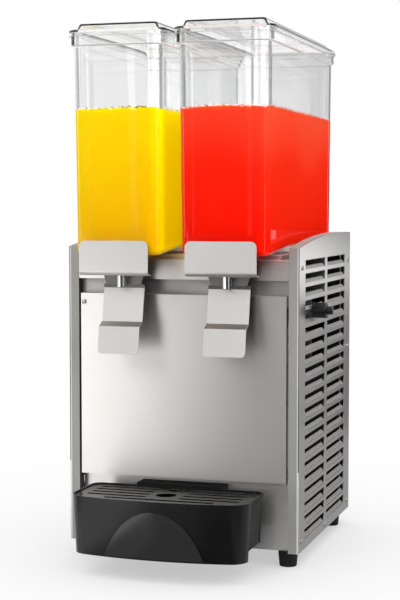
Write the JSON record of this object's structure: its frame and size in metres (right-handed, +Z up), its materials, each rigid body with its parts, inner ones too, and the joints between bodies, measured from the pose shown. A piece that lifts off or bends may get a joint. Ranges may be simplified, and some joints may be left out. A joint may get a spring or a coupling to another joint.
{
  "type": "juice dispenser",
  "caption": "Countertop refrigerated drink dispenser with twin clear lidded tanks, push-paddle taps, a louvred stainless cabinet and a removable drip tray.",
  "frame": {"origin": "Centre of the cabinet's footprint, on the surface that the feet stand on.", "axes": "+X is to the right for someone who faces the taps, -Y is the front, +Z is up."},
  "size_m": [0.3494, 0.447, 0.7124],
  "materials": {
    "brushed_stainless": "brushed stainless sheet",
    "polished_stainless": "fine satin stainless sheet",
    "chrome": "bright chrome",
    "screw_steel": "zinc-plated steel",
    "clear_plastic": "clear moulded polycarbonate",
    "yellow_juice": "cloudy yellow drink",
    "red_juice": "cloudy red drink",
    "black_plastic": "fine-grained black moulding",
    "black_rubber": "matt black rubber",
    "white_rubber": "translucent white silicone",
    "white_plastic": "white moulding",
    "galvanised_steel": "galvanised sheet",
    "magnet": "coated magnet disc",
    "black_enamel": "black enamel",
    "fin_aluminium": "mill-finish fins",
    "copper": "drawn copper"
  },
  "bodies": {
    "cabinet": {"base_pan": "galvanised_steel", "feet": "black_rubber", "left_side_panel": "brushed_stainless", "right_side_panel": "brushed_stainless", "panel_screws": "screw_steel", "front_panel": "brushed_stainless", "front_rail": "brushed_stainless", "lower_front_panel": "brushed_stainless", "deck": "brushed_stainless", "rear_panel": "brushed_stainless", "power_inlet": "black_plastic", "tray_hanger": "black_plastic", "compressor": "black_enamel", "compressor_grommets": "black_rubber", "condenser": "fin_aluminium", "fan_motor": "galvanised_steel", "fan_bracket": "galvanised_steel", "filter_drier": "copper", "refrigerant_lines": "copper", "thermostat": "white_plastic", "left_evaporator": "polished_stainless", "right_evaporator": "polished_stainless", "left_tank_gasket": "white_rubber", "right_tank_gasket": "white_rubber", "left_agitator_motor": "galvanised_steel", "right_agitator_motor": "galvanised_steel"},
    "fan": {"fan_blade": "black_plastic"},
    "knob": {"thermostat_knob": "black_plastic"},
    "tray": {"drip_tray": "black_plastic"},
    "grille": {"drip_grille": "polished_stainless"},
    "left_tank": {"left_tank": "clear_plastic", "left_juice": "yellow_juice", "left_spout": "chrome", "left_outlet_gasket": "white_rubber", "left_seat_nut": "white_plastic", "left_tap_bracket": "polished_stainless", "left_lever_pin": "polished_stainless", "left_lever_spring": "screw_steel"},
    "left_lid": {"left_lid": "clear_plastic"},
    "left_lever": {"left_tap_handle": "polished_stainless", "left_tap_paddle": "polished_stainless"},
    "left_plunger": {"left_plunger": "chrome", "left_plunger_seal": "black_rubber"},
    "left_drive": {"left_drive_magnet": "magnet"},
    "left_agitator": {"left_agitator": "white_plastic"},
    "right_tank": {"right_tank": "clear_plastic", "right_juice": "red_juice", "right_spout": "chrome", "right_outlet_gasket": "white_rubber", "right_seat_nut": "white_plastic", "right_tap_bracket": "polished_stainless", "right_lever_pin": "polished_stainless", "right_lever_spring": "screw_steel"},
    "right_lid": {"right_lid": "clear_plastic"},
    "right_lever": {"right_tap_handle": "polished_stainless", "right_tap_paddle": "polished_stainless"},
    "right_plunger": {"right_plunger": "chrome", "right_plunger_seal": "black_rubber"},
    "right_drive": {"right_drive_magnet": "magnet"},
    "right_agitator": {"right_agitator": "white_plastic"}
  },
  "joints": [
    {"name": "condenser_fan", "type": "hinge", "parent": "cabinet", "child": "fan", "pos_m": [0.0918, 0.003, 0.1417], "axis": [1, 0, 0], "continuous": true},
    {"name": "thermostat_turn", "type": "hinge", "parent": "cabinet", "child": "knob", "pos_m": [0.16, -0.084, 0.3361], "axis": [1, 0, 0], "range_deg": [-135, 135]},
    {"name": "drip_tray_pull", "type": "slide", "parent": "cabinet", "child": "tray", "axis": [0, -1, 0], "range_m": [0, 0.06]},
    {"name": "drip_grille_lift", "type": "slide", "parent": "tray", "child": "grille", "axis": [0, 0, 1], "range_m": [0, 0.06]},
    {"name": "left_tank_lift", "type": "slide", "parent": "cabinet", "child": "left_tank", "axis": [0, 0, 1], "range_m": [0, 0.14]},
    {"name": "left_lid_lift", "type": "slide", "parent": "left_tank", "child": "left_lid", "axis": [0, 0, 1], "range_m": [0, 0.06]},
    {"name": "left_lever_press", "type": "hinge", "parent": "left_tank", "child": "left_lever", "pos_m": [-0.0724, -0.209, 0.398], "axis": [1, 0, 0], "range_deg": [0, 15], "stiffness_Nm_per_rad": 0.3, "springref_deg": -20.05},
    {"name": "left_plunger_lift", "type": "slide", "parent": "left_tank", "child": "left_plunger", "axis": [0, 0, 1], "range_m": [0, 0.0036]},
    {"name": "left_drive_spin", "type": "hinge", "parent": "cabinet", "child": "left_drive", "pos_m": [-0.0724, -0.012, 0.505], "axis": [0, 0, 1], "continuous": true},
    {"name": "left_agitator_spin", "type": "hinge", "parent": "cabinet", "child": "left_agitator", "pos_m": [-0.0724, -0.012, 0.52], "axis": [0, 0, 1], "continuous": true},
    {"name": "right_tank_lift", "type": "slide", "parent": "cabinet", "child": "right_tank", "axis": [0, 0, 1], "range_m": [0, 0.14]},
    {"name": "right_lid_lift", "type": "slide", "parent": "right_tank", "child": "right_lid", "axis": [0, 0, 1], "range_m": [0, 0.06]},
    {"name": "right_lever_press", "type": "hinge", "parent": "right_tank", "child": "right_lever", "pos_m": [0.0724, -0.209, 0.398], "axis": [1, 0, 0], "range_deg": [0, 15], "stiffness_Nm_per_rad": 0.3, "springref_deg": -20.05},
    {"name": "right_plunger_lift", "type": "slide", "parent": "right_tank", "child": "right_plunger", "axis": [0, 0, 1], "range_m": [0, 0.0036]},
    {"name": "right_drive_spin", "type": "hinge", "parent": "cabinet", "child": "right_drive", "pos_m": [0.0724, -0.012, 0.505], "axis": [0, 0, 1], "continuous": true},
    {"name": "right_agitator_spin", "type": "hinge", "parent": "cabinet", "child": "right_agitator", "pos_m": [0.0724, -0.012, 0.52], "axis": [0, 0, 1], "continuous": true}
  ],
  "couplings": [
    {"joint": "left_plunger_lift", "follows": "left_lever_press", "m_per_rad": 0.01305},
    {"joint": "left_agitator_spin", "follows": "left_drive_spin", "ratio": 1},
    {"joint": "right_plunger_lift", "follows": "right_lever_press", "m_per_rad": 0.01305},
    {"joint": "right_agitator_spin", "follows": "right_drive_spin", "ratio": 1}
  ]
}
